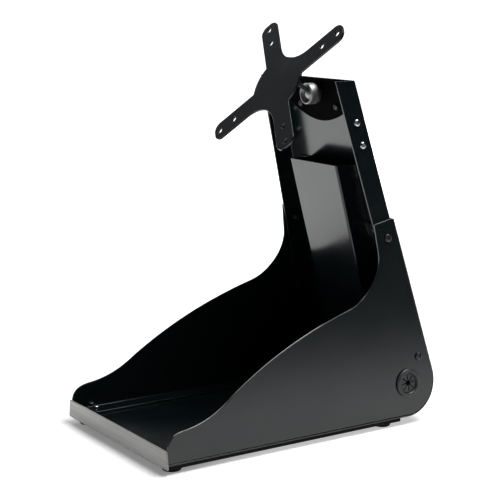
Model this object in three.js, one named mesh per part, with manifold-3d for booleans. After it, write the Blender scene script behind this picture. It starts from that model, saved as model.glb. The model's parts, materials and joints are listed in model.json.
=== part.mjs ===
// Desktop display stand: a tray base between two leaning side plates, a sheet-metal column
// that leans forward, and a ball-jointed cross plate that carries a small screen.
// Millimetres, +Z up, the open end of the tray towards -Y, origin under the middle of the stand.
import * as THREE from 'three';
import { mergeVertices } from 'three/addons/utils/BufferGeometryUtils.js';
import Module from 'manifold-3d';

const wasm = await Module();
wasm.setup();

// ---------- driving dimensions ----------
const GAP = 0.3; // clearance between pieces that touch
const SHEET = 1.5; // thickness of the folded sheet
const WALL_LEAN = 0.0947; // how far each side leans inwards per millimetre of height
const HALF_AT_TABLE = 85.8; // half the width between the outer side faces, at table height
const COLUMN_LEAN = 15; // degrees the column leans forward
const COLUMN_FRONT_AT_TABLE = 124.5; // where the column's front plane would meet the table
const COLUMN_DEPTH = 20;
const COLUMN_TOP = 297.5;
const COLUMN_FOOT = 46;
const STAND_FRONT = -136;
const PLATE_BOTTOM = 9.1; // lowest edge of the side plates
const JOINT_HEIGHT = 178; // where the base gives way to the column, at mid depth
const CORNER_RADIUS = 28; // rounded rear lower corner of the side plates
const CORNER_Z = PLATE_BOTTOM + CORNER_RADIUS;
const FOOT_HEIGHT = 4;

const rad = THREE.MathUtils.degToRad;
const LEAN = rad(COLUMN_LEAN);

// ---------- the leaning planes that everything hangs on ----------
const halfWidth = (z) => HALF_AT_TABLE - WALL_LEAN * z;
// y of the plane that lies `depth` behind the column's front plane
const columnY = (z, depth) => COLUMN_FRONT_AT_TABLE - Math.tan(LEAN) * z + depth / Math.cos(LEAN);
const CORNER_Y = columnY(CORNER_Z, COLUMN_DEPTH) - CORNER_RADIUS / Math.cos(LEAN);

// ---------- solids ----------
function toSolid(geometry, matrix = new THREE.Matrix4()) {
  const bare = geometry.clone();
  bare.deleteAttribute('normal');
  bare.deleteAttribute('uv');
  bare.applyMatrix4(matrix);
  const merged = mergeVertices(bare, 1e-4);
  const index = merged.index.array;
  const triVerts = new Uint32Array(index);
  if (matrix.determinant() < 0) {
    for (let i = 0; i < triVerts.length; i += 3) {
      [triVerts[i], triVerts[i + 1]] = [triVerts[i + 1], triVerts[i]];
    }
  }
  const vertProperties = new Float32Array(merged.attributes.position.array);
  return new wasm.Manifold(new wasm.Mesh({ numProp: 3, vertProperties, triVerts }));
}

function toGeometry(solid) {
  const mesh = solid.getMesh();
  const geometry = new THREE.BufferGeometry();
  geometry.setAttribute('position', new THREE.BufferAttribute(mesh.vertProperties, 3));
  geometry.setIndex(new THREE.BufferAttribute(mesh.triVerts, 1));
  geometry.computeVertexNormals();
  return geometry;
}

const turned = (position, x = 0, y = 0, z = 0) =>
  new THREE.Matrix4().compose(
    new THREE.Vector3(...position),
    new THREE.Quaternion().setFromEuler(new THREE.Euler(x, y, z)),
    new THREE.Vector3(1, 1, 1),
  );

function box(low, high) {
  const size = high.map((value, i) => value - low[i]);
  const middle = high.map((value, i) => (value + low[i]) / 2);
  return toSolid(new THREE.BoxGeometry(...size), turned(middle));
}

// an outline drawn in y and z, stretched along x from `fromX` to `toX`
function sideways(shape, fromX, toX, curveSegments = 16) {
  const geometry = new THREE.ExtrudeGeometry(shape, {
    depth: toX - fromX,
    bevelEnabled: false,
    curveSegments,
  });
  const swap = new THREE.Matrix4().set(0, 0, 1, fromX, 1, 0, 0, 0, 0, 1, 0, 0, 0, 0, 0, 1);
  return toSolid(geometry, swap);
}

// the leaning wedge between the two side faces, `inset` inside them
function wedge(inset) {
  const low = -20;
  const high = 400;
  const shape = new THREE.Shape();
  shape.moveTo(-(halfWidth(low) - inset), low);
  shape.lineTo(halfWidth(low) - inset, low);
  shape.lineTo(halfWidth(high) - inset, high);
  shape.lineTo(-(halfWidth(high) - inset), high);
  const geometry = new THREE.ExtrudeGeometry(shape, { depth: 600, bevelEnabled: false });
  return toSolid(geometry, turned([0, 300, 0], Math.PI / 2));
}

const between = (shape, inset) => sideways(shape, -120, 120).intersect(wedge(inset));

function polygon(points) {
  const shape = new THREE.Shape();
  shape.setFromPoints(points.map(([y, z]) => new THREE.Vector2(y, z)));
  return shape;
}

function rod(radius, length, sides = 20) {
  return new THREE.CylinderGeometry(radius, radius, length, sides);
}

// ---------- placing along an axis ----------
// a matrix that carries +Y of a turned solid onto `direction`, with its middle at `position`
function along(position, direction) {
  const turn = new THREE.Quaternion().setFromUnitVectors(
    new THREE.Vector3(0, 1, 0),
    new THREE.Vector3(...direction).normalize(),
  );
  return new THREE.Matrix4().compose(new THREE.Vector3(...position), turn, new THREE.Vector3(1, 1, 1));
}

const shifted = (point, direction, distance) => point.map((value, i) => value + direction[i] * distance);

// ---------- materials ----------
const paint = new THREE.MeshStandardMaterial({ color: 0x17181a, roughness: 0.35, metalness: 0.1 });
const trimMetal = new THREE.MeshStandardMaterial({ color: 0x9a9a9a, roughness: 0.35, metalness: 0.8 });
const plating = new THREE.MeshStandardMaterial({ color: 0xc8cacc, roughness: 0.25, metalness: 1 });
const blackScrew = new THREE.MeshStandardMaterial({ color: 0x202224, roughness: 0.4, metalness: 0.6 });
const rubber = new THREE.MeshStandardMaterial({ color: 0x0c0c0c, roughness: 0.8, metalness: 0 });
const plastic = new THREE.MeshStandardMaterial({ color: 0x2c2d2f, roughness: 0.3, metalness: 0 });
const satin = new THREE.MeshStandardMaterial({ color: 0x6a6b6d, roughness: 0.3, metalness: 0.9 });
const nylon = new THREE.MeshStandardMaterial({ color: 0x3a3a3a, roughness: 0.5, metalness: 0 });

const stand = new THREE.Group();

function add(name, solid, material, parent = stand) {
  const mesh = new THREE.Mesh(toGeometry(solid), material);
  mesh.name = name;
  parent.add(mesh);
  return mesh;
}

// ---------- screws ----------
const HEAD_HEIGHT = 1.8;
const SCREW_CLEARANCE = 0.35;

// a domed screw whose head sits on `seat` and whose shank runs against `outward`
function screwSolid(seat, outward, headRadius, shankRadius, shankLength) {
  const profile = [
    [0, -shankLength],
    [shankRadius, -shankLength],
    [shankRadius, 0],
    [headRadius, 0],
    [headRadius, HEAD_HEIGHT * 0.4],
    [headRadius * 0.72, HEAD_HEIGHT * 0.85],
    [headRadius * 0.35, HEAD_HEIGHT],
    [0, HEAD_HEIGHT],
  ].map(([r, y]) => new THREE.Vector2(r, y));
  return toSolid(new THREE.LatheGeometry(profile, 12), along(shifted(seat, outward, GAP), outward));
}

function screwHole(seat, outward, shankRadius, length) {
  return toSolid(rod(shankRadius + SCREW_CLEARANCE, 2 * length, 10), along(seat, outward));
}

// ---------- side plates ----------
const FLANGE_WIDTH = 18;
const NOSE_TOP = 33.5;
const NOSE_RADIUS = 13;
const SIDE_SCREWS = [164, 58.5]; // heights of the screws that hold the column
const GROMMET_HOLE = 10.6;
const wallNormal = (side) => {
  const size = Math.hypot(1, WALL_LEAN);
  return [side / size, 0, WALL_LEAN / size];
};

function sidePlateOutline() {
  const shape = new THREE.Shape();
  const front = STAND_FRONT + SHEET + GAP;
  const backTop = JOINT_HEIGHT + 2.5;
  const frontTop = JOINT_HEIGHT - 1.5;
  shape.moveTo(front, PLATE_BOTTOM);
  shape.lineTo(front, NOSE_TOP - NOSE_RADIUS);
  shape.quadraticCurveTo(front + 1.5, NOSE_TOP - 1.5, front + NOSE_RADIUS + 3.5, NOSE_TOP);
  shape.bezierCurveTo(-96, 36.5, -84, 44.5, -72, 53.5);
  shape.bezierCurveTo(-40, 75.5, -2, 94, 48, 108);
  shape.bezierCurveTo(66, 113.5, 84, 133, 80.5, 153);
  shape.lineTo(columnY(frontTop, 0), frontTop);
  shape.lineTo(columnY(backTop, COLUMN_DEPTH), backTop);
  const arcStart = -Math.PI / 2;
  const tangentY = CORNER_Y + CORNER_RADIUS * Math.cos(LEAN);
  const tangentZ = CORNER_Z + CORNER_RADIUS * Math.sin(LEAN);
  shape.lineTo(tangentY, tangentZ);
  shape.absarc(CORNER_Y, CORNER_Z, CORNER_RADIUS, LEAN, arcStart, true);
  return shape;
}

// a sheet that leans with one side: its outer face lies `inset` inside the outer side face
function leaningSheet(shape, side, inset, thickness) {
  const shear = new THREE.Matrix4().set(
    side, 0, -side * WALL_LEAN, side * (HALF_AT_TABLE - inset),
    0, 1, 0, 0,
    0, 0, 1, 0,
    0, 0, 0, 1,
  );
  return toSolid(toGeometry(sideways(shape, -thickness, 0, 20)), shear);
}

const columnMiddle = COLUMN_DEPTH / 2;
const sideScrewSeat = (side, z, inset) => [side * (halfWidth(z) - inset), columnY(z, columnMiddle), z];
const grommetSeat = (side, inset) => [side * (halfWidth(CORNER_Z) - inset), CORNER_Y, CORNER_Z];

function sidePlate(side) {
  let solid = leaningSheet(sidePlateOutline(), side, 0, SHEET);
  const outer = halfWidth(PLATE_BOTTOM) - SHEET / 2;
  const inner = outer - FLANGE_WIDTH;
  const low = [Math.min(side * outer, side * inner), STAND_FRONT + 5, PLATE_BOTTOM];
  const high = [Math.max(side * outer, side * inner), CORNER_Y - 12, PLATE_BOTTOM + SHEET];
  solid = solid.add(box(low, high));
  for (const z of SIDE_SCREWS) {
    solid = solid.subtract(screwHole(sideScrewSeat(side, z, 0), wallNormal(side), 2, 6));
  }
  for (const [x, y] of trayScrewPlaces) {
    if (Math.sign(x) === side) {
      solid = solid.subtract(screwHole([x, y, PLATE_BOTTOM], [0, 0, 1], 1.6, 4));
    }
  }
  const hole = toSolid(rod(GROMMET_HOLE, 12, 28), along(grommetSeat(side, 0), wallNormal(side)));
  return solid.subtract(hole);
}

const trayScrewPlaces = [
  [-79, -113.5],
  [79, -113.5],
  [-79, 84],
  [79, 84],
];

// ---------- base shell: floor, rounded corner and back in one bent sheet ----------
const SHELL_RADIUS = CORNER_RADIUS + GAP + SHEET;
const SHELL_INSET = 0.4;
const SHELL_TOP = JOINT_HEIGHT + 2;

function shellOutline() {
  const shape = new THREE.Shape();
  const floorTop = PLATE_BOTTOM - GAP;
  const backDepth = COLUMN_DEPTH + GAP;
  const inside = SHELL_RADIUS - SHEET;
  const cos = Math.cos(LEAN);
  const sin = Math.sin(LEAN);
  shape.moveTo(STAND_FRONT + SHEET + GAP, floorTop);
  shape.lineTo(STAND_FRONT + SHEET + GAP, floorTop - SHEET);
  shape.lineTo(CORNER_Y, floorTop - SHEET);
  shape.absarc(CORNER_Y, CORNER_Z, SHELL_RADIUS, -Math.PI / 2, LEAN, false);
  shape.lineTo(columnY(SHELL_TOP, backDepth + SHEET), SHELL_TOP);
  shape.lineTo(columnY(SHELL_TOP, backDepth), SHELL_TOP);
  shape.lineTo(CORNER_Y + inside * cos, CORNER_Z + inside * sin);
  shape.absarc(CORNER_Y, CORNER_Z, inside, LEAN, -Math.PI / 2, true);
  return shape;
}

function baseShell() {
  let solid = between(shellOutline(), SHELL_INSET);
  for (const [x, y] of trayScrewPlaces) {
    solid = solid.subtract(screwHole([x, y, PLATE_BOTTOM], [0, 0, 1], 1.6, 4));
  }
  return solid;
}

// ---------- base plate and feet ----------
const BASE_PLATE_TOP = PLATE_BOTTOM - 2 * GAP - SHEET;
const BASE_PLATE_BOTTOM = FOOT_HEIGHT;
const BASE_PLATE_HALF = 83.5;
const FOOT_RADIUS = 8;
const footPlaces = { right_front: [72, -124], left_front: [-72, -124], right_rear: [72, 86], left_rear: [-72, 86] };

function basePlate() {
  let solid = box(
    [-BASE_PLATE_HALF, STAND_FRONT + SHEET + GAP, BASE_PLATE_BOTTOM],
    [BASE_PLATE_HALF, CORNER_Y - 8, BASE_PLATE_TOP],
  );
  for (const [x, y] of trayScrewPlaces) {
    solid = solid.subtract(screwHole([x, y, PLATE_BOTTOM], [0, 0, 1], 1.6, 8));
  }
  for (const [x, y] of Object.values(footPlaces)) {
    solid = solid.subtract(screwHole([x, y, PLATE_BOTTOM], [0, 0, 1], 1.6, 8));
  }
  return solid;
}

function foot([x, y]) {
  const profile = [
    [1.9, 1.6],
    [5, 1.6],
    [5, 0],
    [FOOT_RADIUS - 1, 0],
    [FOOT_RADIUS, 1],
    [FOOT_RADIUS, FOOT_HEIGHT - GAP],
    [1.9, FOOT_HEIGHT - GAP],
    [1.9, 1.6],
  ].map(([r, z]) => new THREE.Vector2(r, z));
  return toSolid(new THREE.LatheGeometry(profile, 20), turned([x, y, 0], Math.PI / 2));
}

function footScrew([x, y]) {
  const profile = [
    [0, 0.4],
    [3.6, 0.4],
    [3.6, 1.3],
    [1.5, 1.3],
    [1.5, BASE_PLATE_TOP - 0.2],
    [0, BASE_PLATE_TOP - 0.2],
  ].map(([r, z]) => new THREE.Vector2(r, z));
  return toSolid(new THREE.LatheGeometry(profile, 10), turned([x, y, 0], Math.PI / 2));
}

// ---------- front trim ----------
const TRIM_LOW = 4.6;
const TRIM_HIGH = 20;

function frontTrim() {
  const half = halfWidth(TRIM_LOW) + 0.8;
  const shape = new THREE.Shape();
  const round = 2;
  shape.moveTo(-half + round, TRIM_LOW);
  shape.lineTo(half - round, TRIM_LOW);
  shape.quadraticCurveTo(half, TRIM_LOW, half - 0.2, TRIM_LOW + round);
  shape.lineTo(half - 1.3, TRIM_HIGH - round);
  shape.quadraticCurveTo(half - 1.5, TRIM_HIGH, half - 1.5 - round, TRIM_HIGH);
  shape.lineTo(-half + 1.5 + round, TRIM_HIGH);
  shape.quadraticCurveTo(-half + 1.5, TRIM_HIGH, -half + 1.3, TRIM_HIGH - round);
  shape.lineTo(-half + 0.2, TRIM_LOW + round);
  shape.quadraticCurveTo(-half, TRIM_LOW, -half + round, TRIM_LOW);
  const geometry = new THREE.ExtrudeGeometry(shape, { depth: SHEET, bevelEnabled: false, curveSegments: 6 });
  return toSolid(geometry, turned([0, STAND_FRONT + SHEET, 0], Math.PI / 2));
}

// ---------- column ----------
const COLUMN_INSET = SHEET + GAP;
const PANEL_FRONT = COLUMN_DEPTH - SHEET; // depth of the back panel's front face

function columnBand(fromDepth, toDepth, low, high) {
  return polygon([
    [columnY(low, fromDepth), low],
    [columnY(low, toDepth), low],
    [columnY(high, toDepth), high],
    [columnY(high, fromDepth), high],
  ]);
}

const panelNormal = [0, -Math.cos(LEAN), -Math.sin(LEAN)];
// a point `depth` behind the column's front plane, on the line square to the panel at height z
const onPanel = (x, z, depth) =>
  shifted([x, columnY(z, PANEL_FRONT), z], panelNormal, PANEL_FRONT - depth);

function column() {
  const outer = between(columnBand(0, COLUMN_DEPTH, COLUMN_FOOT, COLUMN_TOP), COLUMN_INSET);
  const hollow = between(columnBand(-5, PANEL_FRONT, COLUMN_FOOT - 5, COLUMN_TOP + 5), COLUMN_INSET + SHEET);
  let solid = outer.subtract(hollow);
  for (const side of [-1, 1]) {
    for (const z of SIDE_SCREWS) {
      solid = solid.subtract(screwHole(sideScrewSeat(side, z, 2), wallNormal(side), 2, 6));
    }
    for (const z of EAR_SCREWS) {
      solid = solid.subtract(screwHole(sideScrewSeat(side, z, 2), wallNormal(side), 1.8, 6));
    }
    for (const z of COVER_SCREWS) {
      solid = solid.subtract(screwHole(onPanel(side * COVER_SCREW_X, z, PANEL_FRONT), panelNormal, 1.5, 4));
    }
    const bracketScrew = onPanel(side * BRACKET_SCREW_X, BRACKET_SCREW_Z, PANEL_FRONT);
    solid = solid.subtract(screwHole(bracketScrew, panelNormal, 1.5, 4));
  }
  return solid.subtract(seatHole());
}

// ---------- cable cover: a hat section on the back panel ----------
const COVER_HALF = 34.2;
const COVER_TOP = 224;
const COVER_BOTTOM = 60;
const COVER_FRONT = -2.6; // depth of its front face, just proud of the column
const COVER_SCREW_X = 42;
const COVER_SCREWS = [218, 166];
const COVER_LUG = 12;

function coverPrism(half, fromDepth, toDepth, low, high) {
  return sideways(columnBand(fromDepth, toDepth, low, high), -half, half);
}

function cableCover() {
  const back = PANEL_FRONT - GAP;
  let solid = coverPrism(COVER_HALF, COVER_FRONT, back, COVER_BOTTOM, COVER_TOP);
  for (const z of COVER_SCREWS) {
    const lug = coverPrism(COVER_SCREW_X + COVER_LUG / 2, back - SHEET, back, z - COVER_LUG / 2, z + COVER_LUG / 2);
    solid = solid.add(lug);
  }
  const hollow = coverPrism(COVER_HALF - SHEET, COVER_FRONT + SHEET, back + 5, COVER_BOTTOM - 5, COVER_TOP + 5);
  solid = solid.subtract(hollow);
  for (const side of [-1, 1]) {
    for (const z of COVER_SCREWS) {
      solid = solid.subtract(screwHole(onPanel(side * COVER_SCREW_X, z, back), panelNormal, 1.5, 4));
    }
  }
  return solid;
}

// ---------- head bracket ----------
const BRACKET_SHEET = 2;
const BRACKET_TOP = COLUMN_TOP - 1.5;
const BRACKET_LOW = 258;
const BRACKET_ARC = 62;
const BRACKET_SCREW_X = 26;
const BRACKET_SCREW_Z = 274;
const EAR_SCREWS = [262.5, 243.5];
const EAR_LOW = 236;
const EAR_FRONT = 3;
const BRACKET_BACK = PANEL_FRONT - GAP;
const BRACKET_FACE = BRACKET_BACK - BRACKET_SHEET;

function headBracket() {
  const inset = COLUMN_INSET + SHEET + GAP;
  const slab = between(columnBand(BRACKET_FACE, BRACKET_BACK, BRACKET_LOW, BRACKET_TOP), inset);
  const arcCentre = onPanel(0, BRACKET_LOW + BRACKET_ARC, BRACKET_BACK);
  const disc = toSolid(rod(BRACKET_ARC, 40, 72), along(arcCentre, panelNormal));
  const earBand = columnBand(EAR_FRONT, BRACKET_BACK, EAR_LOW, BRACKET_TOP);
  const earHollow = columnBand(EAR_FRONT - 5, BRACKET_BACK + 5, EAR_LOW - 5, BRACKET_TOP + 5);
  const ears = between(earBand, inset).subtract(between(earHollow, inset + BRACKET_SHEET));
  const bridge = between(columnBand(BRACKET_FACE, BRACKET_BACK, BRACKET_LOW + 26, BRACKET_TOP), inset);
  let solid = slab.intersect(disc).add(ears).add(bridge);
  for (const side of [-1, 1]) {
    for (const z of EAR_SCREWS) {
      solid = solid.subtract(screwHole(sideScrewSeat(side, z, 4), wallNormal(side), 1.8, 6));
    }
    const seat = onPanel(side * BRACKET_SCREW_X, BRACKET_SCREW_Z, BRACKET_FACE);
    solid = solid.subtract(screwHole(seat, panelNormal, 1.5, 4));
  }
  return solid.subtract(seatHole());
}

// ---------- ball joint ----------
const PLATE_TILT = rad(31);
const PLATE_CENTRE = [0, 24, 293.5];
const HUB_RISE = 10.6; // the hub sits this far above the middle of the cross plate
const REACH = 37; // from the ball's centre to the cross plate's front face
const CROSS_SHEET = 2;
const plateUp = [0, Math.sin(PLATE_TILT), Math.cos(PLATE_TILT)];
const plateNormal = [0, -Math.cos(PLATE_TILT), Math.sin(PLATE_TILT)];
const plateBack = plateNormal.map((value) => -value);
const hubCentre = shifted(PLATE_CENTRE, plateUp, HUB_RISE);
const pivot = shifted(hubCentre, plateNormal, -REACH);
const BALL = 6.4;
const LINER_IN = 6.6;
const LINER_OUT = 7.2;
const SOCKET_IN = 7.4;
const SOCKET_OUT = 9.2;
const SEAT = 7.5; // radius of the socket's threaded seat, through bracket and column
const SEAT_CLEARANCE = 0.4;
const SPLIT = 0.6; // the collar starts this far in front of the ball's centre
const RIM = 7; // and its rim lies this far in front
const LINER_FRONT = 3;
// the ball's centre, carried straight back onto the bracket's face
const seatOnBracket = (() => {
  const depth = (pivot[1] - columnY(pivot[2], 0)) * Math.cos(LEAN);
  return shifted(pivot, panelNormal, depth - BRACKET_FACE);
})();
const seatHole = () => toSolid(rod(SEAT + SEAT_CLEARANCE, 14, 40), along(seatOnBracket, panelNormal));

function ball(radius, segments = 24) {
  return toSolid(new THREE.SphereGeometry(radius, segments, segments / 2), turned(pivot, Math.PI / 2));
}

// everything more than `ahead` in front of the ball's centre
function infront(ahead) {
  const room = 30;
  const low = [-room, pivot[1] - room, pivot[2] - room];
  return box(low, [room, pivot[1] - ahead, pivot[2] + room]);
}

// a turned solid about the socket's level axis, from [radius, distance in front of the ball] points
function turnedAhead(points, segments) {
  const profile = points.map(([r, ahead]) => new THREE.Vector2(r, ahead));
  return toSolid(new THREE.LatheGeometry(profile, segments), along(pivot, [0, -1, 0]));
}

const NUT_THICK = 2.2;

function socketHousing() {
  const room = 30;
  const ahead = columnBand(-room, BRACKET_FACE - GAP, pivot[2] - room, pivot[2] + room);
  const dome = ball(SOCKET_OUT, 32).intersect(sideways(ahead, -room, room));
  const inside = 2;
  const behind = BRACKET_SHEET + SHEET + 2 * GAP + NUT_THICK + 0.4;
  const middle = shifted(seatOnBracket, panelNormal, (inside - behind) / 2);
  const seat = toSolid(rod(SEAT, inside + behind, 36), along(middle, panelNormal));
  return dome.add(seat).subtract(infront(SPLIT - GAP)).subtract(ball(SOCKET_IN));
}

function socketNut() {
  const behind = BRACKET_SHEET + SHEET + 2 * GAP + NUT_THICK / 2;
  const place = along(shifted(seatOnBracket, panelNormal, -behind), panelNormal);
  const nut = toSolid(rod(SEAT + 3.6, NUT_THICK, 8), place);
  return nut.subtract(toSolid(rod(SEAT + SEAT_CLEARANCE, NUT_THICK * 3, 36), place));
}

function retainingRing() {
  const collar = turnedAhead(
    [
      [0, SPLIT],
      [SOCKET_OUT, SPLIT],
      [SOCKET_OUT, RIM - 0.8],
      [SOCKET_OUT - 0.5, RIM],
      [0, RIM],
    ],
    36,
  );
  const mouth = turnedAhead(
    [
      [0, 2.5],
      [6.1, 2.5],
      [8, RIM + 0.5],
      [0, RIM + 0.5],
    ],
    36,
  );
  return collar.subtract(ball(SOCKET_IN)).subtract(mouth);
}

function ballLiner() {
  return ball(LINER_OUT).subtract(ball(LINER_IN)).subtract(infront(LINER_FRONT));
}

const NECK_RADIUS = 1.9;
const NECK_START = 2.5; // the neck is screwed this deep towards the ball's centre
const HUB_RADIUS = 11;
const HUB_THICK = 5;
const HUB_BACK = REACH - CROSS_SHEET - GAP - HUB_THICK;

function rodAhead(radius, from, to, sides) {
  const middle = shifted(pivot, plateNormal, (from + to) / 2);
  return toSolid(rod(radius, to - from, sides), along(middle, plateNormal));
}

function pivotBall() {
  return ball(BALL).subtract(rodAhead(NECK_RADIUS + 0.2, NECK_START - 0.3, BALL * 2, 20));
}

function headNeck() {
  const collar = rodAhead(4.2, HUB_BACK - GAP - 2, HUB_BACK - GAP, 24);
  return rodAhead(NECK_RADIUS, NECK_START, REACH - CROSS_SHEET - 1, 20).add(collar);
}

function plateHub() {
  let solid = rodAhead(HUB_RADIUS, HUB_BACK, HUB_BACK + HUB_THICK, 32);
  solid = solid.subtract(rodAhead(NECK_RADIUS + 0.4, HUB_BACK - 5, REACH, 24));
  for (const [x, up] of plateScrewPlaces) {
    solid = solid.subtract(screwHole(onCross(x, up, 0), plateNormal, PLATE_SCREW, 10));
  }
  return solid;
}

// ---------- cross plate ----------
const ARM_HALF = 9.5;
const ARM_REACH = 77.3;
const ARM_ROUND = 7.5;
const CROSS_DISC = 29;
const VALLEY = 29; // radius of the rounded valleys between the upper and between the lower arms
const HOLE_RADIUS = 2.3;
const VESA_HALVES = [50, 37.5];
const PLATE_SCREW = 1.1;
const SCREW_RING = 7.3;
const plateScrewPlaces = [
  [SCREW_RING, HUB_RISE],
  [-SCREW_RING, HUB_RISE],
  [0, HUB_RISE + SCREW_RING],
  [0, HUB_RISE - SCREW_RING],
];
const onCross = (x, up, forward) => {
  const raised = shifted(PLATE_CENTRE, plateUp, up);
  const moved = shifted(raised, plateNormal, forward);
  return [moved[0] + x, moved[1], moved[2]];
};
// the cross plate is drawn flat in x and y, then stood up on the head
const standUp = turned(PLATE_CENTRE, Math.PI / 2 - PLATE_TILT);

function crossArm(angle) {
  const shape = new THREE.Shape();
  const end = ARM_REACH;
  const round = ARM_ROUND;
  shape.moveTo(-end + round, -ARM_HALF);
  shape.lineTo(end - round, -ARM_HALF);
  shape.absarc(end - round, -ARM_HALF + round, round, -Math.PI / 2, 0, false);
  shape.absarc(end - round, ARM_HALF - round, round, 0, Math.PI / 2, false);
  shape.lineTo(-end + round, ARM_HALF);
  shape.absarc(-end + round, ARM_HALF - round, round, Math.PI / 2, Math.PI, false);
  shape.absarc(-end + round, -ARM_HALF + round, round, Math.PI, 1.5 * Math.PI, false);
  const geometry = new THREE.ExtrudeGeometry(shape, { depth: CROSS_SHEET, bevelEnabled: false, curveSegments: 8 });
  return toSolid(geometry, turned([0, 0, 0], 0, 0, angle));
}

function crossFlat() {
  const webHalf = VALLEY / Math.SQRT2;
  const valleyAt = ARM_HALF * Math.SQRT2 + VALLEY * Math.SQRT2;
  let web = box([-webHalf, -(valleyAt - webHalf), 0], [webHalf, valleyAt - webHalf, CROSS_SHEET]);
  for (const side of [-1, 1]) {
    web = web.subtract(toSolid(rod(VALLEY, 20, 64), turned([0, side * valleyAt, 0], Math.PI / 2)));
  }
  let disc = toSolid(rod(CROSS_DISC, CROSS_SHEET, 64), turned([0, 0, CROSS_SHEET / 2], Math.PI / 2));
  const belt = box([-60, -20, -5], [60, 20, 5]);
  disc = disc.intersect(belt);
  let solid = crossArm(Math.PI / 4).add(crossArm(-Math.PI / 4)).add(web).add(disc);
  for (const half of VESA_HALVES) {
    for (const sx of [-1, 1]) {
      for (const sy of [-1, 1]) {
        solid = solid.subtract(toSolid(rod(HOLE_RADIUS, 20, 14), turned([sx * half, sy * half, 0], Math.PI / 2)));
      }
    }
  }
  for (const [x, up] of plateScrewPlaces) {
    const blind = toSolid(rod(PLATE_SCREW + SCREW_CLEARANCE, 2.8, 14), turned([x, up, 0], Math.PI / 2));
    solid = solid.subtract(blind);
  }
  return solid;
}

function crossPlate() {
  return toSolid(toGeometry(crossFlat()), standUp.clone().multiply(turned([0, 0, -CROSS_SHEET])));
}

// a screw through the hub from behind, its tip short of the cross plate's front face
function plateScrew([x, up]) {
  const seat = onCross(x, up, HUB_BACK - REACH);
  return screwSolid(seat, plateBack, 2, PLATE_SCREW, HUB_THICK + 2 * GAP + 1.2);
}

// ---------- grommets ----------
const GROMMET_OUT = 12.5;
const GROMMET_LIP = 2.2;
const GROMMET_BORE = 8.8;
const STAR_SLOTS = 8;

function grommetRing(side) {
  const profile = [
    [GROMMET_BORE, -4],
    [GROMMET_HOLE - GAP, -4],
    [GROMMET_HOLE - GAP, GAP],
    [GROMMET_OUT, GAP],
    [GROMMET_OUT, GROMMET_LIP * 0.6],
    [GROMMET_OUT - 1.2, GROMMET_LIP],
    [GROMMET_BORE + 0.8, GROMMET_LIP],
    [GROMMET_BORE, GROMMET_LIP * 0.6],
    [GROMMET_BORE, -4],
  ].map(([r, y]) => new THREE.Vector2(r, y));
  return toSolid(new THREE.LatheGeometry(profile, 28), along(grommetSeat(side, 0), wallNormal(side)));
}

function grommetStar(side) {
  const place = along(grommetSeat(side, 0), wallNormal(side));
  let solid = toSolid(rod(GROMMET_BORE - GAP, 1, 28), place);
  for (let i = 0; i < STAR_SLOTS; i += 1) {
    const angle = (i * 2 * Math.PI) / STAR_SLOTS;
    const slot = new THREE.BoxGeometry(GROMMET_BORE - 3, 6, 0.9);
    const local = turned([Math.cos(angle) * 4.6, 0, Math.sin(angle) * 4.6], 0, -angle, 0);
    solid = solid.subtract(toSolid(slot, place.clone().multiply(local)));
  }
  return solid.subtract(toSolid(rod(2.3, 6, 16), place));
}

// ---------- assembly ----------
const SIDES = { right: 1, left: -1 };

add('base_plate', basePlate(), blackScrew);
add('base_shell', baseShell(), paint);
add('front_trim', frontTrim(), trimMetal);
for (const [name, place] of Object.entries(footPlaces)) {
  add(`foot_${name}`, foot(place), rubber);
  add(`foot_screw_${name}`, footScrew(place), plating);
}
trayScrewPlaces.forEach(([x, y], i) => {
  const seat = [x, y, PLATE_BOTTOM + SHEET];
  add(`tray_screw_${i + 1}`, screwSolid(seat, [0, 0, 1], 3, 1.6, 6), plating);
});
for (const [name, side] of Object.entries(SIDES)) {
  add(`side_plate_${name}`, sidePlate(side), paint);
  add(`grommet_ring_${name}`, grommetRing(side), rubber);
  add(`grommet_star_${name}`, grommetStar(side), rubber);
  SIDE_SCREWS.forEach((z, i) => {
    const where = i === 0 ? 'upper' : 'lower';
    const screw = screwSolid(sideScrewSeat(side, z, 0), wallNormal(side), 3.4, 2, 7);
    add(`side_screw_${name}_${where}`, screw, blackScrew);
  });
  EAR_SCREWS.forEach((z, i) => {
    const where = i === 0 ? 'upper' : 'lower';
    const seat = sideScrewSeat(side, z, COLUMN_INSET);
    add(`ear_screw_${name}_${where}`, screwSolid(seat, wallNormal(side), 2.9, 1.8, 6), plating);
  });
  COVER_SCREWS.forEach((z, i) => {
    const where = i === 0 ? 'upper' : 'lower';
    const seat = onPanel(side * COVER_SCREW_X, z, PANEL_FRONT - GAP - SHEET);
    add(`cover_screw_${name}_${where}`, screwSolid(seat, panelNormal, 2.8, 1.5, 3.6), blackScrew);
  });
  const bracketSeat = onPanel(side * BRACKET_SCREW_X, BRACKET_SCREW_Z, BRACKET_FACE);
  add(`bracket_screw_${name}`, screwSolid(bracketSeat, panelNormal, 2.8, 1.5, 5), blackScrew);
}
add('column', column(), paint);
add('cable_cover', cableCover(), paint);
add('head_bracket', headBracket(), paint);
add('socket_housing', socketHousing(), satin);
add('retaining_ring', retainingRing(), satin);
add('socket_nut', socketNut(), plating);
add('ball_liner', ballLiner(), nylon);
add('pivot_ball', pivotBall(), satin);
add('head_neck', headNeck(), blackScrew);
add('plate_hub', plateHub(), plastic);
add('cross_plate', crossPlate(), paint);
plateScrewPlaces.forEach((place, i) => {
  add(`plate_screw_${i + 1}`, plateScrew(place), blackScrew);
});

export default stand;
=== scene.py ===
"""Looks of the desktop display stand: black powder-coated sheet, bright trim, screws and a ball joint.

Everything is in metres in the CAD frame: +Z up, the open front of the tray towards -Y.
"""

import json
import math

import bmesh
import bpy
from mathutils import Matrix, Vector

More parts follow.
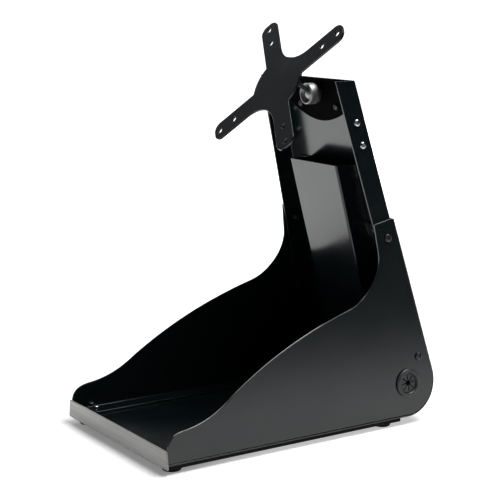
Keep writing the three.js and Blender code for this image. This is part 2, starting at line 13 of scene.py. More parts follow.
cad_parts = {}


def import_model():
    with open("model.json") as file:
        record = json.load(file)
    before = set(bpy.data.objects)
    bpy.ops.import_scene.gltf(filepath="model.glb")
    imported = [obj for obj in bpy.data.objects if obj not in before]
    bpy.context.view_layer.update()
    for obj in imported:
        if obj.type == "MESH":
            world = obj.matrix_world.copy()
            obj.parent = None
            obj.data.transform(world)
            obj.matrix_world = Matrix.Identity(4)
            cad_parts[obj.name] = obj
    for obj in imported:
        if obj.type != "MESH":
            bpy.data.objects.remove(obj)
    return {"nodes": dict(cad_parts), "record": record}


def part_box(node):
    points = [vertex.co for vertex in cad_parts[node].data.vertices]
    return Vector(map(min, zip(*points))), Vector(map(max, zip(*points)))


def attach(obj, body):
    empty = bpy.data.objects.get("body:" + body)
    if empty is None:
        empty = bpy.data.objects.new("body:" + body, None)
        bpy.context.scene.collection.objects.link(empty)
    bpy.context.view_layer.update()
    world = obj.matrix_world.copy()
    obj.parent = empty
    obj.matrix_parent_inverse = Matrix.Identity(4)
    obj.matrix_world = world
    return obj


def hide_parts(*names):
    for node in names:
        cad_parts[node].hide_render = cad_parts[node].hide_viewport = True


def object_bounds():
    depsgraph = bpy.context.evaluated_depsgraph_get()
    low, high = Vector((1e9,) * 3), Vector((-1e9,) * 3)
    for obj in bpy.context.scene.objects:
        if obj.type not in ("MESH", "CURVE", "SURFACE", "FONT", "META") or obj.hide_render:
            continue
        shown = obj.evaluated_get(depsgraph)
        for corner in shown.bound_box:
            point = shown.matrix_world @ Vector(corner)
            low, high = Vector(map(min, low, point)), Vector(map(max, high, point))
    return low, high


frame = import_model()
cad_low, cad_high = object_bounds()
nodes = frame["nodes"]
MM = 0.001

# ---------- the stand's own directions ----------
WALL_LEAN = 0.0947  # how far each side leans inwards, per unit of height
COLUMN_LEAN = math.radians(15)  # the column leans forward
PANEL_NORMAL = Vector((0, -math.cos(COLUMN_LEAN), -math.sin(COLUMN_LEAN)))
SIDES = {"right": 1, "left": -1}
UP = Vector((0, 0, 1))


def wall_normal(side):
    return Vector((side, 0, WALL_LEAN)).normalized()


# ---------- materials ----------
class Shader:
    """A Principled material with a few procedural layers on top."""

    def __init__(self, name, colour, roughness, metallic=0.0, ior=1.5, coat=0.0):
        self.material = bpy.data.materials.new(name)
        self.material.use_nodes = True
        tree = self.material.node_tree
        self.nodes = tree.nodes
        self.links = tree.links
        self.surface = self.nodes["Principled BSDF"]
        self.set("Base Color", (*colour, 1))
        self.set("Roughness", roughness)
        self.set("Metallic", metallic)
        self.set("IOR", ior)
        self.set("Coat Weight", coat)
        self.set("Coat Roughness", 0.12)
        self.place = self.nodes.new("ShaderNodeTexCoord").outputs["Object"]

    def set(self, socket, value):
        self.surface.inputs[socket].default_value = value

    def noise(self, scale, detail=3.0, stretch=(1, 1, 1)):
        mapping = self.nodes.new("ShaderNodeMapping")
        mapping.inputs["Scale"].default_value = stretch
        self.links.new(self.place, mapping.inputs["Vector"])
        texture = self.nodes.new("ShaderNodeTexNoise")
        texture.inputs["Scale"].default_value = scale
        texture.inputs["Detail"].default_value = detail
        self.links.new(mapping.outputs["Vector"], texture.inputs["Vector"])
        return texture.outputs["Fac"]

    def spread(self, value, low, high):
        """value, from 0 to 1, stretched to run from low to high."""
        ramp = self.nodes.new("ShaderNodeMapRange")
        ramp.inputs["From Min"].default_value = 0.3
        ramp.inputs["From Max"].default_value = 0.7
        ramp.inputs["To Min"].default_value = low
        ramp.inputs["To Max"].default_value = high
        self.links.new(value, ramp.inputs["Value"])
        return ramp.outputs["Result"]

    def vary_roughness(self, value, low, high):
        self.links.new(self.spread(value, low, high), self.surface.inputs["Roughness"])

    def vary_colour(self, value, dark, light):
        mix = self.nodes.new("ShaderNodeMix")
        mix.data_type = "RGBA"
        mix.inputs["A"].default_value = (*dark, 1)
        mix.inputs["B"].default_value = (*light, 1)
        self.links.new(self.spread(value, 0, 1), mix.inputs["Factor"])
        self.links.new(mix.outputs["Result"], self.surface.inputs["Base Color"])

    def bump(self, value, depth, strength=1.0):
        bump = self.nodes.new("ShaderNodeBump")
        bump.inputs["Distance"].default_value = depth
        bump.inputs["Strength"].default_value = strength
        self.links.new(value, bump.inputs["Height"])
        previous = self.surface.inputs["Normal"].links
        if previous:
            self.links.new(previous[0].from_socket, bump.inputs["Normal"])
        self.links.new(bump.outputs["Normal"], self.surface.inputs["Normal"])


def powder_coat():
    paint = Shader("powder_coat", (0.003, 0.006, 0.007), 0.2, ior=1.55)
    paint.vary_colour(paint.noise(60), (0.0024, 0.0052, 0.006), (0.004, 0.007, 0.008))
    paint.vary_roughness(paint.noise(25), 0.16, 0.21)
    paint.bump(paint.noise(1500, 2), 0.004 * MM)
    paint.bump(paint.noise(420, 2), 0.008 * MM)
    return paint.material


def bare_plate():
    plate = Shader("base_plate_black", (0.004, 0.004, 0.004), 0.5)
    plate.set("Specular IOR Level", 0.08)
    plate.vary_roughness(plate.noise(40), 0.42, 0.58)
    plate.bump(plate.noise(900), 0.01 * MM)
    return plate.material


def brushed_trim():
    trim = Shader("brushed_trim", (0.25, 0.25, 0.245), 0.34, metallic=0.9)
    grain = trim.noise(260, 4, stretch=(0.06, 1, 6))
    trim.vary_colour(grain, (0.19, 0.188, 0.184), (0.265, 0.262, 0.256))
    trim.vary_roughness(trim.noise(320, 3, stretch=(0.05, 1, 5)), 0.28, 0.42)
    trim.bump(trim.noise(700, 3, stretch=(0.04, 1, 5)), 0.006 * MM)
    return trim.material


def zinc():
    metal = Shader("zinc_plate", (0.62, 0.63, 0.64), 0.24, metallic=1.0)
    metal.vary_roughness(metal.noise(600), 0.18, 0.34)
    metal.vary_colour(metal.noise(300), (0.5, 0.51, 0.52), (0.68, 0.69, 0.7))
    return metal.material


def black_oxide():
    metal = Shader("black_oxide", (0.045, 0.046, 0.048), 0.35, metallic=0.7)
    metal.vary_roughness(metal.noise(700), 0.28, 0.44)
    metal.bump(metal.noise(1400), 0.006 * MM)
    return metal.material


def rubber():
    skin = Shader("rubber", (0.006, 0.006, 0.006), 0.62)
    skin.set("Specular IOR Level", 0.12)
    skin.vary_roughness(skin.noise(300), 0.5, 0.7)
    skin.bump(skin.noise(2200, 2), 0.02 * MM)
    return skin.material


def grommet_rubber():
    skin = Shader("grommet_rubber", (0.02, 0.021, 0.023), 0.42)
    skin.vary_roughness(skin.noise(400), 0.36, 0.5)
    skin.bump(skin.noise(1800, 2), 0.01 * MM)
    return skin.material


def gloss_black():
    skin = Shader("gloss_black", (0.012, 0.0125, 0.0135), 0.16, ior=1.6, coat=0.6)
    skin.vary_roughness(skin.noise(200), 0.13, 0.22)
    return skin.material


def satin_gunmetal():
    metal = Shader("satin_gunmetal", (0.36, 0.364, 0.37), 0.5, metallic=1.0)
    metal.vary_roughness(metal.noise(500), 0.46, 0.54)
    metal.vary_colour(metal.noise(350), (0.32, 0.324, 0.33), (0.4, 0.404, 0.41))
    metal.bump(metal.noise(1600, 2), 0.004 * MM)
    return metal.material


def flat_black():
    skin = Shader("flat_black", (0.001, 0.001, 0.0011), 0.8)
    skin.set("Specular IOR Level", 0.02)
    skin.vary_colour(skin.noise(300), (0.0008, 0.0008, 0.0009), (0.0014, 0.0014, 0.0015))
    skin.bump(skin.noise(1800, 2), 0.01 * MM)
    return skin.material


def nylon():
    skin = Shader("nylon", (0.03, 0.03, 0.03), 0.5)
    skin.bump(skin.noise(1500), 0.01 * MM)
    return skin.material


FINISH = {
    "paint": powder_coat(),
    "plate_steel": bare_plate(),
    "trim_metal": brushed_trim(),
    "bright_screw": zinc(),
    "black_screw": black_oxide(),
    "rubber": rubber(),
    "gloss_plastic": gloss_black(),
    "nylon": nylon(),
    "satin_metal": satin_gunmetal(),
    "flat_black": flat_black(),
}
GROMMET = grommet_rubber()
SLOT_OF = {part["node"]: part["material_slot"] for part in frame["record"]["subparts"]}
BODY_OF = {
    node: body for body, group in frame["record"]["behaviour"]["bodies"].items() for node in group
}


# ---------- building pieces ----------
SMOOTH_WEIGHT = 60  # how far a piece's large flat faces rule its shading


def stands_for(piece, node, material=None):
    """piece takes the place of a CAD node, with its body and its finish."""
    slot = SLOT_OF[node]
    piece.data.materials.clear()
    piece.data.materials.append(material or FINISH[slot])
    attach(piece, BODY_OF[node])
    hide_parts(node)
    return piece


def new_piece(name, mesh):
    piece = bpy.data.objects.new(name, mesh)
    bpy.context.scene.collection.objects.link(piece)
    return piece


def mesh_from(bm, name):
    for face in bm.faces:
        face.smooth = True
    mesh = bpy.data.meshes.new(name)
    bm.to_mesh(mesh)
    bm.free()
    return mesh


SAME_POINT = 0.002 * MM  # points closer than this are one
SPECK = 0.01 * MM  # shorter edges are dropped
SAME_PLANE = math.radians(0.6)  # faces closer than this are joined


def clean_copy(node, seams):
    """The CAD node's mesh with its flat faces joined back together.

    Each x in seams keeps a cut there, so that a face with holes is made of simple pieces.
    """
    bm = bmesh.new()
    bm.from_mesh(nodes[node].data)
    bmesh.ops.remove_doubles(bm, verts=bm.verts, dist=SAME_POINT)
    for x in seams:
        everything = bm.verts[:] + bm.edges[:] + bm.faces[:]
        made = bmesh.ops.bisect_plane(bm, geom=everything, plane_co=(x, 0, 0), plane_no=(1, 0, 0))
        for item in made["geom_cut"]:
            if isinstance(item, bmesh.types.BMEdge):
                item.seam = True
    bmesh.ops.dissolve_limit(
        bm,
        angle_limit=SAME_PLANE,
        verts=bm.verts,
        edges=bm.edges,
        use_dissolve_boundaries=False,
        delimit={"SEAM"},
    )
    bmesh.ops.dissolve_degenerate(bm, edges=bm.edges, dist=SPECK)
    return bm


SHARP = math.radians(28)  # an edge this sharp is rounded
FLAT = math.radians(0.5)  # faces closer than this lie in one plane
BEND_STEPS = 5
QUAD = 4


def sharp_edges(bm, special):
    """Each sharp edge with the radius that special asks for it, or None."""
    found = {}
    for line in bm.edges:
        if len(line.link_faces) == 2 and line.calc_face_angle(0) > SHARP:
            middle = (line.verts[0].co + line.verts[1].co) / 2
            found[line] = special(middle, line.calc_length()) if special else None
    return found


def round_off(bm, lines, radius, steps):
    bmesh.ops.bevel(
        bm,
        geom=lines,
        offset=radius,
        offset_type="OFFSET",
        segments=steps,
        profile=0.5,
        affect="EDGES",
        clamp_overlap=False,
        loop_slide=False,
        miter_outer="ARC",
    )


def flat_regions(bm):
    """The mesh's faces, gathered into patches that each lie in one plane."""
    seen = set()
    regions = []
    for first in bm.faces:
        if first in seen:
            continue
        seen.add(first)
        region = [first]
        for face in region:
            for other in (other for line in face.edges for other in line.link_faces):
                if other not in seen and other.normal.angle(first.normal, math.pi) < FLAT:
                    seen.add(other)
                    region.append(other)
        regions.append(region)
    return regions


def refill(bm):
    """Fill each flat patch afresh from its outline, so that no face folds over a hole or a bend."""
    bm.normal_update()
    outlines = []
    old_faces = []
    old_lines = []
    for region in flat_regions(bm):
        if len(region) == 1 and len(region[0].verts) <= QUAD:
            continue
        members = set(region)
        normal = max(region, key=lambda face: face.calc_area()).normal.copy()
        outline = []
        for line in dict.fromkeys(line for face in region for line in face.edges):
            shared = sum(face in members for face in line.link_faces)
            (outline if shared == 1 else old_lines).append(line)
        outlines.append((outline, normal))
        old_faces += region
    bmesh.ops.delete(bm, geom=old_faces, context="FACES_ONLY")
    bmesh.ops.delete(bm, geom=old_lines, context="EDGES")
    for outline, normal in outlines:
        bmesh.ops.triangle_fill(bm, use_beauty=True, edges=outline, normal=normal)
    bmesh.ops.delete(bm, geom=[v for v in bm.verts if not v.link_faces], context="VERTS")
    bmesh.ops.recalc_face_normals(bm, faces=bm.faces)


def rounded_copy(node, edge, special=None, segments=3, material=None, seams=()):
    """A copy of a CAD piece with `edge` of rounding on its sharp edges.

    special, where given, takes an edge's middle and length and says how far that edge is rounded
    instead: None leaves it to `edge`, and 0 keeps it sharp.
    """
    bm = clean_copy(node, seams)
    bends = {}
    for line, radius in sharp_edges(bm, special).items():
        if radius:
            bends.setdefault(radius, []).append(line)
    for radius, lines in bends.items():
        round_off(bm, lines, radius, BEND_STEPS)
    bm.normal_update()
    lines = [line for line, radius in sharp_edges(bm, special).items() if radius is None]
    round_off(bm, lines, edge, segments)
    refill(bm)
    piece = new_piece(node + "_finish", mesh_from(bm, node + "_finish"))
    normals = piece.modifiers.new("flat_faces", "WEIGHTED_NORMAL")
    normals.weight = SMOOTH_WEIGHT
    return stands_for(piece, node, material)


def frame_along(position, direction):
    turn = UP.rotation_difference(direction.normalized())
    return Matrix.Translation(position) @ turn.to_matrix().to_4x4()


def lathe(profile, segments=64):
    """A turned solid about Z from (radius, height) points."""
    bm = bmesh.new()
    rings = []
    for radius, height in profile:
        if radius < 1e-7:
            rings.append([bm.verts.new((0, 0, height))])
            continue
        ring = []
        for i in range(segments):
            angle = 2 * math.pi * i / segments
            ring.append(bm.verts.new((radius * math.cos(angle), radius * math.sin(angle), height)))
        rings.append(ring)
    closed = rings[0] is not rings[-1] and len(rings[0]) > 1 and len(rings[-1]) > 1
    pairs = list(zip(rings, rings[1:])) + ([(rings[-1], rings[0])] if closed else [])
    for low, high in pairs:
        for i in range(segments):
            j = (i + 1) % segments
            if len(low) == 1:
                corners = (low[0], high[j], high[i])
            elif len(high) == 1:
                corners = (low[i], low[j], high[0])
            else:
                corners = (low[i], low[j], high[j], high[i])
            bm.faces.new(corners)
    bmesh.ops.recalc_face_normals(bm, faces=bm.faces)
    return bm


def round_corner(before, corner, after, radius, steps=4):
    """Points that round off one corner of a profile."""
    corner = Vector(corner)
    towards = (Vector(before) - corner).normalized()
    away = (Vector(after) - corner).normalized()
    points = []
    for i in range(steps + 1):
        t = i / steps
        start = corner + towards * radius * (1 - t) ** 2
        points.append(tuple(start + away * radius * t**2))
    return points


def rounded_profile(points, radius):
    """An open profile with every inner corner rounded by `radius`."""
    smooth = [points[0]]
    for before, corner, after in zip(points, points[1:], points[2:]):
        reach = min(radius, (Vector(before) - Vector(corner)).length / 2.1)
        reach = min(reach, (Vector(after) - Vector(corner)).length / 2.1)
        smooth += round_corner(before, corner, after, reach)
    return smooth + [points[-1]]


def cut(bm, cutter, name):
    """bm minus cutter, as a new mesh."""
    target = new_piece(name, mesh_from(bm, name))
    tool = new_piece(name + "_tool", mesh_from(cutter, name + "_tool"))
    boolean = target.modifiers.new("cut", "BOOLEAN")
    boolean.operation = "DIFFERENCE"
    boolean.solver = "EXACT"
    boolean.object = tool
    bpy.context.view_layer.update()
    graph = bpy.context.evaluated_depsgraph_get()
    mesh = bpy.data.meshes.new_from_object(target.evaluated_get(graph))
    for scrap in (target, tool):
        bpy.data.objects.remove(scrap)
    return mesh


def axis_of(node, direction):
    """The point where a turned CAD piece's outer end meets its axis."""
    points = {tuple(round(c, 7) for c in v.co) for v in nodes[node].data.vertices}
    points = [Vector(p) for p in points]
    middle = sum(points, Vector()) / len(points)
    top = max((p - middle).dot(direction) for p in points)
    return middle + direction * top


# ---------- screws ----------
def cross_recess(size, depth):
    """A plus-shaped tool, 2 * depth tall about the origin."""
    arm = size / 2
    slot = size * 0.12
    quarter = [(arm, -slot), (arm, slot), (slot, slot)]
    bm = bmesh.new()
    corners = []
    for turn in range(4):
        spin = Matrix.Rotation(turn * math.pi / 2, 2)
        corners += [spin @ Vector(point) for point in quarter]
    bottom = [bm.verts.new((x, y, -depth)) for x, y in corners]
    top = [bm.verts.new((x, y, depth)) for x, y in corners]
    bm.faces.new(bottom[::-1])
    bm.faces.new(top)
    for i in range(len(corners)):
        j = (i + 1) % len(corners)
        bm.faces.new((bottom[i], bottom[j], top[j], top[i]))
    bmesh.ops.recalc_face_normals(bm, faces=bm.faces)
    return bm


def hex_recess(size, depth):
    bm = bmesh.new()
    bmesh.ops.create_cone(
        bm, cap_ends=True, segments=6, radius1=size / 2, radius2=size / 2, depth=depth * 2
    )
    return bm


HEAD_HEIGHT = 1.8 * MM
DOME = 0.62  # share of the head's height that is domed
DOME_STEPS = 10
TIP = 0.3 * MM


def screw_mesh(name, head, shank, length, height, recess):
    """A domed screw, its crown at the origin and its shank down -Z."""
    angles = [math.pi / 2 * i / DOME_STEPS for i in range(DOME_STEPS)]
    rise = [(head * math.sin(a), -height * DOME * (1 - math.cos(a))) for a in angles]
    rim = [(head, -height * DOME), (head, -height)]
    end = -height - length
    profile = rise + rounded_profile(rim + [(shank, -height), (shank, end)], 0.12 * MM)
    profile += [(shank * 0.8, end - TIP), (0, end - TIP)]
    shape = recess(head * 1.15, height * 0.55)
    bmesh.ops.translate(shape, verts=shape.verts, vec=(0, 0, 0.1 * MM))
    return cut(lathe(profile, 40), shape, name)


SCREWS = {
    "side": screw_mesh("side_screw_mesh", 3.4 * MM, 2 * MM, 6.6 * MM, HEAD_HEIGHT, hex_recess),
    "ear": screw_mesh("ear_screw_mesh", 2.9 * MM, 1.8 * MM, 5.6 * MM, HEAD_HEIGHT, cross_recess),
    "cover": screw_mesh("cover_screw_mesh", 2.8 * MM, 1.5 * MM, 3.2 * MM, HEAD_HEIGHT, cross_recess),
    "bracket": screw_mesh("bracket_screw_mesh", 2.8 * MM, 1.5 * MM, 4.6 * MM, HEAD_HEIGHT, cross_recess),
    "tray": screw_mesh("tray_screw_mesh", 3 * MM, 1.6 * MM, 5.6 * MM, HEAD_HEIGHT, cross_recess),
}


SCREW_TWIST = 0.7  # in radians, as the two below
BRACKET_TWIST = 0.4
TRAY_TWIST = 0.5
TRAY_SCREWS = 4


def place_screw(node, kind, direction, twist):
    piece = new_piece(node + "_finish", SCREWS[kind].copy())
    spin = Matrix.Rotation(twist, 4, "Z")
    piece.matrix_world = frame_along(axis_of(node, direction), direction) @ spin
    for face in piece.data.polygons:
        face.use_smooth = True
    piece.data.set_sharp_from_angle(angle=math.radians(35))
    return stands_for(piece, node)


def all_screws():
    """Every screw, each turned to a rest of its own."""
    count = 0
    for name, side in SIDES.items():
        outward = wall_normal(side)
        for where in ("upper", "lower"):
            for kind, direction in (("side", outward), ("ear", outward), ("cover", PANEL_NORMAL)):
                count += 1
                place_screw(f"{kind}_screw_{name}_{where}", kind, direction, count * SCREW_TWIST)
        place_screw(f"bracket_screw_{name}", "bracket", PANEL_NORMAL, BRACKET_TWIST * side)
    for i in range(TRAY_SCREWS):
        place_screw(f"tray_screw_{i + 1}", "tray", UP, TRAY_TWIST + i)


# ---------- sheet pieces ----------
EDGE = 0.35 * MM
LONG = 100 * MM


def column_depth(point):
    """How far behind the column's front plane a point lies."""
    low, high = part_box("column")
    front = Vector((0, low.y, high.z))
    return -(point - front).dot(PANEL_NORMAL)


def column_bend(middle, length):
    """The two long bends where the column's back panel turns into its sides."""
    depth = column_depth(middle)
    if length < LONG or depth < 10 * MM:
        return None
    return 2.2 * MM if depth > 19.2 * MM else 0.8 * MM


def cover_bend(middle, length):
    """The two long bends along the cable cover's front."""
    depth = column_depth(middle)
    if length < LONG or depth > 5 * MM:
        return None
    return 2 * MM if depth < -2 * MM else 0.6 * MM


def wall_bend(middle, length):
    """The bend between a side plate and its bottom flange, outside."""
    outer = middle.z < 9.5 * MM and abs(middle.x) > 84.5 * MM
    return 1.0 * MM if outer and length > LONG else None


def hidden_holes(middle, length):
    """The blind screw holes in the cross plate's back, near the hub, stay sharp."""
    low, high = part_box("plate_hub")
    return 0 if (middle - (low + high) / 2).length < 16 * MM else None


def panel_screw_lines():
    """The x of each upright line of screws in the column's back panel."""
    lines = []
    for side in SIDES:
        for node in (f"bracket_screw_{side}", f"cover_screw_{side}_upper"):
            low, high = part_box(node)
            lines.append((low.x + high.x) / 2)
    return lines


def sheet_pieces():
    for side in SIDES:
        rounded_copy(f"side_plate_{side}", EDGE, wall_bend)
    rounded_copy("base_shell", EDGE)
    rounded_copy("column", EDGE, column_bend, seams=[0] + panel_screw_lines())
    rounded_copy("cable_cover", EDGE, cover_bend)
    rounded_copy("head_bracket", EDGE)
    rounded_copy("cross_plate", 0.4 * MM, hidden_holes)
    rounded_copy("base_plate", 0.5 * MM)
    rounded_copy("front_trim", 0.4 * MM)


# ---------- feet and grommets ----------
def turned_piece(node, profile, position, direction, material=None, segments=64):
    piece = new_piece(node + "_finish", mesh_from(lathe(profile, segments), node + "_finish"))
    piece.matrix_world = frame_along(position, direction)
    piece.data.set_sharp_from_angle(angle=math.radians(40))
    return stands_for(piece, node, material)


FOOT_BORE = 1.9 * MM
FOOT_HOLLOW = 5 * MM  # radius of the hollow that takes the screw's head
FOOT_HOLLOW_TOP = 1.6 * MM


def feet():
    for side in SIDES:
        for end in ("front", "rear"):
            node = f"foot_{side}_{end}"
            low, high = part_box(node)
            middle = (low + high) / 2
            top = high.z - low.z
            radius = (high.x - low.x) / 2
            profile = rounded_profile(
                [
                    (FOOT_BORE, FOOT_HOLLOW_TOP),
                    (FOOT_HOLLOW, FOOT_HOLLOW_TOP),
                    (FOOT_HOLLOW, 0),
                    (radius - 0.8 * MM, 0),
                    (radius, 1.2 * MM),
                    (radius, top),
                    (FOOT_BORE, top),
                    (FOOT_BORE, 1.7 * MM),
                ],
                0.4 * MM,
            )
            turned_piece(node, profile, Vector((middle.x, middle.y, low.z)), UP)


# The web below is painted shade: a flat black sheet in the grommet slits, in place of the dark inside of
# the base.
WEB_RADIUS = 8.6 * MM
WEB_THICK = 0.35 * MM
WEB_DEPTH = 0.3 * MM  # from the middle of the leaves' thickness to the middle of the web's


def shade_slits_with_web(star, side):
    """A thin dark web across the slits, which makes them grooves and not holes: painted shade, standing
    in for the dark inside of the base behind them.

    It lies inside the thickness of the star's leaves, as a closed shell that overlaps theirs.
    """
    low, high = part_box(star.name.removesuffix("_finish"))
    outward = wall_normal(side)
    bm = bmesh.new()
    bm.from_mesh(star.data)
    leaves = len(bm.faces)
    bmesh.ops.create_cone(
        bm,
        cap_ends=True,
        segments=48,
        radius1=WEB_RADIUS,
        radius2=WEB_RADIUS,
        depth=WEB_THICK,
        matrix=frame_along((low + high) / 2 - outward * WEB_DEPTH, outward),
    )
    bm.faces.ensure_lookup_table()
    for face in bm.faces[leaves:]:
        face.material_index = 1
    bm.to_mesh(star.data)
    bm.free()
    # the web's flat black is painted shade behind the slits
    star.data.materials.append(FINISH["flat_black"])


def grommets():
    for name, side in SIDES.items():
        rounded_copy(f"grommet_ring_{name}", 0.25 * MM, material=GROMMET)
        star = rounded_copy(f"grommet_star_{name}", 0.12 * MM, material=GROMMET)
        # the slits get a flat black web as painted shade
        shade_slits_with_web(star, side)


# ---------- ball joint ----------
PLATE_TILT = math.radians(31)
PLATE_NORMAL = Vector((0, -math.cos(PLATE_TILT), math.sin(PLATE_TILT)))
AHEAD = Vector((0, -1, 0))


def ball_centre():
    low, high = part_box("pivot_ball")
    return (low + high) / 2


def arc_points(radius, start, end, steps=24):
    """(distance from the axis, height) points on a circle about the ball's centre."""
    points = []
    for i in range(steps + 1):
        angle = start + (end - start) * i / steps
        points.append((radius * math.sin(angle), radius * math.cos(angle)))
    return points


BALL = 6.4 * MM
BORE = 1.95 * MM  # of the hole in the ball that takes the neck
BORE_DEPTH = 2.6 * MM  # how far from the ball's centre it ends
CUP = 7.4 * MM  # radius of the hollow that holds the ball
CUP_FRONT = 3.7 * MM
CUP_BACK = 0.7 * MM


def collar_profile():
    """The ring in front of the ball: round shoulder, thin rim, flared mouth."""
    outside = [(9.18, 0.6), (9.2, 6.1), (8.7, 7.0), (7.85, 7.0), (6.45, 3.6)]
    rounded = rounded_profile([(r * MM, h * MM) for r, h in outside], 0.3 * MM)
    inner = arc_points(CUP, math.acos(CUP_FRONT / CUP), math.acos(CUP_BACK / CUP), 10)
    return rounded[:-1] + inner


HUB_SCREWS = 7.3 * MM  # how far the hub's screws are from its middle


def joint_pieces():
    rounded_copy("socket_housing", 0.2 * MM)
    turned_piece("retaining_ring", collar_profile(), ball_centre(), AHEAD)
    rounded_copy("plate_hub", 0.4 * MM, seams=[-HUB_SCREWS, 0, HUB_SCREWS])
    rounded_copy("socket_nut", 0.3 * MM)
    rounded_copy("head_neck", 0.2 * MM)
    rounded_copy("ball_liner", 0.05 * MM)
    bore = [(0, BORE_DEPTH), (BORE, BORE_DEPTH), (BORE, 6.08 * MM)]
    skin = arc_points(BALL, 0.32, math.pi - 0.001, 40)
    turned_piece("pivot_ball", bore + skin + [(0, -BALL)], ball_centre(), PLATE_NORMAL)


def leftovers():
    """CAD nodes that keep their own mesh get their finish."""
    for node, thing in nodes.items():
        if thing.hide_render:
            continue
        thing.data.materials.clear()
        thing.data.materials.append(FINISH[SLOT_OF[node]])


# ---------- stage ----------
FLOOR_HALF = 60.0
WHITE = 0.8
FRONT_LEFT = (-0.84, -0.54, 0)
RIGHT = (1, 0.3, 0)
# Each of these is where a change in the table's light or colour starts and ends, in metres, and
# its strength before and after. The first two are measured out from the stand's footprint, the
# others along FRONT_LEFT or RIGHT. Only the camera sees RIGHT_EDGE. RIGHT_DARK and RIGHT_SHADE
# are only for light and reflections.
CONTACT = (0.0, 0.04, 0.22, 0.44)
FAR_AWAY = (0.4, 1.8, 0, 0.8)
FRONT_LIT = (0.1, 0.4, 0, 1.1)
FRONT_END = (0.75, 1.1, 1, 0.1)
RIGHT_DARK = (0.26, 1.1, 1, 0.04)
RIGHT_SHADE = (0.26, 1.1, WHITE, 0.06)
RIGHT_EDGE = (0.03, 0.07, 0, 0.3)
SKY_FROM = Vector((-0.84, -0.52, 0.1)).normalized()
SKY_GLOW = (0.75, 1.0, 0.016, 0.2)  # likewise, by the cosine of the angle to SKY_FROM
SKY_WHITE = 1.0  # what the camera sees of the world


def smooth_step(tree, value, start, end, low, high):
    """low before start, high after end, with a soft change between."""
    step = tree.nodes.new("ShaderNodeMapRange")
    step.interpolation_type = "SMOOTHSTEP"
    step.inputs["From Min"].default_value = start
    step.inputs["From Max"].default_value = end
    step.inputs["To Min"].default_value = low
    step.inputs["To Max"].default_value = high
    tree.links.new(value, step.inputs["Value"])
    return step.outputs["Result"]


def combine(tree, operation, first, second):
    node = tree.nodes.new("ShaderNodeMath")
    node.operation = operation
    tree.links.new(first, node.inputs[0])
    tree.links.new(second, node.inputs[1])
    return node.outputs["Value"]


def along_direction(tree, place, direction):
    node = tree.nodes.new("ShaderNodeVectorMath")
    node.operation = "DOT_PRODUCT"
    node.inputs[1].default_value = direction
    tree.links.new(place, node.inputs[0])
    return node.outputs["Value"]


def when_seen(tree, direct, mirrored):
    """direct where the studio is looked at, and mirrored where it lights or reflects."""
    mix = tree.nodes.new("ShaderNodeMix")
    looked_at = tree.nodes.new("ShaderNodeLightPath").outputs["Is Camera Ray"]
    tree.links.new(looked_at, mix.inputs["Factor"])
    tree.links.new(mirrored, mix.inputs["A"])
    if isinstance(direct, float):
        mix.inputs["B"].default_value = direct
    else:
        tree.links.new(direct, mix.inputs["B"])
    return mix.outputs["Result"]


def off_the_stand(tree, place):
    """How far a point of the table lies outside the stand's footprint."""
    edge = tree.nodes.new("ShaderNodeVectorMath")
    edge.operation = "ABSOLUTE"
    tree.links.new(place, edge.inputs[0])
    outside = tree.nodes.new("ShaderNodeVectorMath")
    outside.operation = "SUBTRACT"
    outside.inputs[1].default_value = (cad_high.x, cad_high.y, 0)
    tree.links.new(edge.outputs["Vector"], outside.inputs[0])
    kept = tree.nodes.new("ShaderNodeVectorMath")
    kept.operation = "MAXIMUM"
    tree.links.new(outside.outputs["Vector"], kept.inputs[0])
    length = tree.nodes.new("ShaderNodeVectorMath")
    length.operation = "LENGTH"
    tree.links.new(kept.outputs["Vector"], length.inputs[0])
    return length.outputs["Value"]


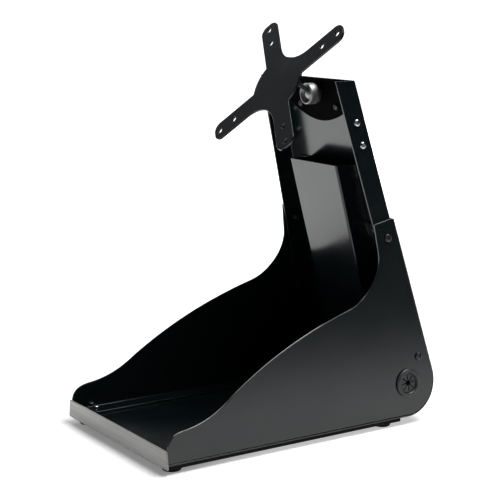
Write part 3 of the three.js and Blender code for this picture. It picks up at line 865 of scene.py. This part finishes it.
def table_material():
    """White all round to look at, while the stand's gloss finds a dark room on its right."""
    material = bpy.data.materials.new("white_table")
    material.use_nodes = True
    tree = material.node_tree
    surface = tree.nodes["Principled BSDF"]
    surface.inputs["Roughness"].default_value = 0.5
    surface.inputs["Specular IOR Level"].default_value = 0.2
    surface.inputs["Emission Color"].default_value = (1, 1, 1, 1)
    place = tree.nodes.new("ShaderNodeTexCoord").outputs["Object"]
    outside = off_the_stand(tree, place)
    near = smooth_step(tree, outside, *CONTACT)
    far = smooth_step(tree, outside, *FAR_AWAY)
    around = combine(tree, "ADD", near, far)
    ahead = along_direction(tree, place, FRONT_LEFT)
    lit = smooth_step(tree, ahead, *FRONT_LIT)
    front = combine(tree, "MULTIPLY", lit, smooth_step(tree, ahead, *FRONT_END))
    right = along_direction(tree, place, RIGHT)
    dark = smooth_step(tree, right, *RIGHT_DARK)
    edge = smooth_step(tree, right, *RIGHT_EDGE)
    seen = combine(tree, "ADD", combine(tree, "ADD", around, front), edge)
    mirrored = combine(tree, "ADD", combine(tree, "MULTIPLY", around, dark), front)
    shade = smooth_step(tree, right, *RIGHT_SHADE)
    tree.links.new(when_seen(tree, seen, mirrored), surface.inputs["Emission Strength"])
    tree.links.new(when_seen(tree, WHITE, shade), surface.inputs["Base Color"])
    return material


def floor():
    bm = bmesh.new()
    bmesh.ops.create_grid(bm, x_segments=2, y_segments=2, size=FLOOR_HALF)
    piece = new_piece("table", mesh_from(bm, "table"))
    piece.location = (0, 0, cad_low.z)
    piece.data.materials.append(table_material())


def world():
    sky = bpy.data.worlds.new("studio")
    sky.use_nodes = True
    bpy.context.scene.world = sky
    tree = sky.node_tree
    back = tree.nodes["Background"]
    back.inputs["Color"].default_value = (1, 1, 1, 1)
    where = tree.nodes.new("ShaderNodeTexCoord").outputs["Generated"]
    glow = smooth_step(tree, along_direction(tree, where, SKY_FROM), *SKY_GLOW)
    tree.links.new(when_seen(tree, SKY_WHITE, glow), back.inputs["Strength"])


def area_light(name, position, target, size, watts):
    data = bpy.data.lights.new(name, "AREA")
    data.shape = "DISK"
    data.size = size
    data.energy = watts
    lamp = bpy.data.objects.new(name, data)
    bpy.context.scene.collection.objects.link(lamp)
    lamp.location = position
    lamp.rotation_euler = (Vector(target) - Vector(position)).to_track_quat("-Z", "Y").to_euler()


def lights():
    area_light("overhead", (0.5, 0.6, 1.95), (0, 0, 0), 1.4, 52)
    area_light("left_panel", (-2.0, 0.35, 1.42), (0, 0, 0.15), 1.2, 14)


CAMERA_PLACE = (0.9959, -0.6548, 0.3751)
CAMERA_DOWN = 10.6  # degrees below level
CAMERA_TURN = 56.8  # degrees about the vertical
LENS = 101.7
SENSOR = 36


def camera():
    data = bpy.data.cameras.new("camera")
    data.lens = LENS
    data.sensor_width = SENSOR
    view = bpy.data.objects.new("camera", data)
    bpy.context.scene.collection.objects.link(view)
    view.location = CAMERA_PLACE
    view.rotation_euler = (math.radians(90 - CAMERA_DOWN), 0, math.radians(CAMERA_TURN))
    bpy.context.scene.camera = view


sheet_pieces()
feet()
grommets()
joint_pieces()
all_screws()
leftovers()
floor()
world()
lights()
camera()
bpy.context.scene.view_settings.view_transform = "Standard"
